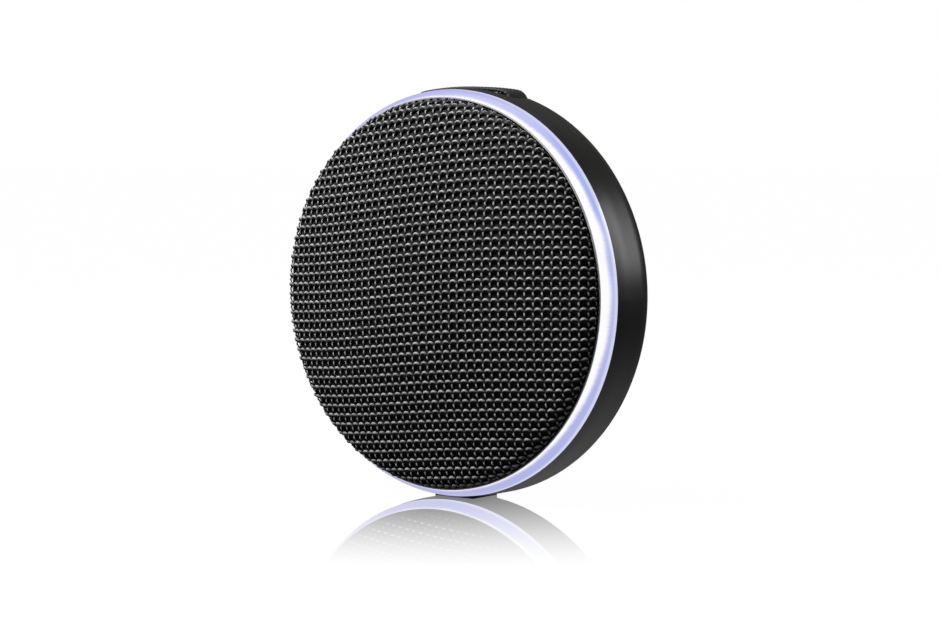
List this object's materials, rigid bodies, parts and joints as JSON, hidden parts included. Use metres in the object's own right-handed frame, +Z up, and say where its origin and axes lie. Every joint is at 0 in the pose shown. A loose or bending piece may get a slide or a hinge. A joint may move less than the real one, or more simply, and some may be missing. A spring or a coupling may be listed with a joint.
{
  "type": "smart speaker",
  "caption": "Round upright smart speaker: domed woven grille, glowing light ring, black rear housing with keys on its back, sunk hanging strap, side sockets and a rubber foot.",
  "frame": {"origin": "centre of the object's bounding box, on the plane that the foot stands on", "axes": "+Z up, the woven front faces -Y, the sockets are on the -X side"},
  "size_m": [0.132, 0.0408, 0.1328],
  "materials": {
    "basket_steel": "black pressed steel",
    "battery_wrap": "heat-shrunk sleeve",
    "bezel": "satin light grey",
    "brass": "tinned tabs on a fibre strip",
    "can_steel": "bright tinned steel",
    "capacitor": "bare can",
    "chip": "moulded epoxy",
    "circuit": "solder-masked board",
    "cloth": "coarse black woven yarn",
    "cone": "black pulp",
    "copper": "enamelled copper winding",
    "ferrite": "ferrite",
    "flex": "amber film cable",
    "foam": "soft foam",
    "housing": "soft-touch satin black",
    "inner_plastic": "moulded black",
    "iron": "zinc-plated iron",
    "keycap": "soft-touch satin black",
    "lamp": "moulded lamp",
    "lead_grey": "insulated wire",
    "lead_red": "insulated wire",
    "light_ring": "translucent, lit from behind",
    "magnet": "ferrite",
    "plunger": "moulded nylon",
    "rubber": "matt black rubber",
    "screw_steel": "plated",
    "socket_plastic": "ivory nylon",
    "socket_plastic_black": "black nylon",
    "spider": "resin-treated cotton",
    "webbing": "black woven webbing"
  },
  "bodies": {
    "root": {"amplifier": "chip", "aux_jack": "socket_plastic_black", "battery": "battery_wrap", "battery_cradle": "inner_plastic", "battery_foam": "foam", "battery_lead": "lead_red", "board_screws": "screw_steel", "capacitors": "capacitor", "driver_basket": "basket_steel", "driver_gasket": "rubber", "driver_lead": "lead_grey", "driver_magnet": "magnet", "driver_screws": "screw_steel", "driver_spider": "spider", "driver_surround": "rubber", "driver_terminals": "brass", "driver_top_plate": "iron", "driver_yoke": "iron", "foot_pad": "rubber", "front_baffle": "inner_plastic", "grille_cloth": "cloth", "grille_frame": "inner_plastic", "housing_screws": "screw_steel", "inductors": "ferrite", "key_board": "circuit", "key_flex": "flex", "key_screws": "screw_steel", "key_switches": "chip", "lead_sockets": "socket_plastic", "led_board": "circuit", "leds": "lamp", "light_lead": "lead_grey", "light_ring": "light_ring", "main_board": "circuit", "main_seal": "rubber", "microphone": "can_steel", "processor": "chip", "radiator_frame": "inner_plastic", "radiator_surround": "rubber", "radio_module": "can_steel", "rear_housing": "housing", "strap": "webbing", "strap_pins": "screw_steel", "trim_ring": "bezel", "usb_socket": "can_steel"},
    "power": {"power_key": "keycap", "power_plunger": "plunger"},
    "pair": {"pair_key": "keycap", "pair_plunger": "plunger"},
    "volume_down": {"volume_down_key": "keycap", "volume_down_plunger": "plunger"},
    "volume_up": {"volume_up_key": "keycap", "volume_up_plunger": "plunger"},
    "light": {"light_key": "keycap", "light_plunger": "plunger"},
    "cone": {"driver_cone": "cone", "dust_cap": "cone", "voice_coil": "copper"},
    "radiator": {"radiator_piston": "inner_plastic", "radiator_weight": "iron"}
  },
  "joints": [
    {"name": "power_press", "type": "slide", "parent": "root", "child": "power", "axis": [0, -1, 0], "range_m": [0, 0.0003], "stiffness_N_per_m": 800},
    {"name": "pair_press", "type": "slide", "parent": "root", "child": "pair", "axis": [0, -1, 0], "range_m": [0, 0.0003], "stiffness_N_per_m": 800},
    {"name": "volume_down_press", "type": "slide", "parent": "root", "child": "volume_down", "axis": [0, -1, 0], "range_m": [0, 0.0003], "stiffness_N_per_m": 800},
    {"name": "volume_up_press", "type": "slide", "parent": "root", "child": "volume_up", "axis": [0, -1, 0], "range_m": [0, 0.0003], "stiffness_N_per_m": 800},
    {"name": "light_press", "type": "slide", "parent": "root", "child": "light", "axis": [0, -1, 0], "range_m": [0, 0.0003], "stiffness_N_per_m": 800},
    {"name": "cone_stroke", "type": "slide", "parent": "root", "child": "cone", "axis": [0, 1, 0], "range_m": [-0.0015, 0.0015], "stiffness_N_per_m": 1000, "deforming": ["driver_surround", "driver_spider"]},
    {"name": "radiator_stroke", "type": "slide", "parent": "root", "child": "radiator", "axis": [0, 1, 0], "range_m": [-0.0015, 0.0015], "stiffness_N_per_m": 900, "deforming": ["radiator_surround"]}
  ]
}
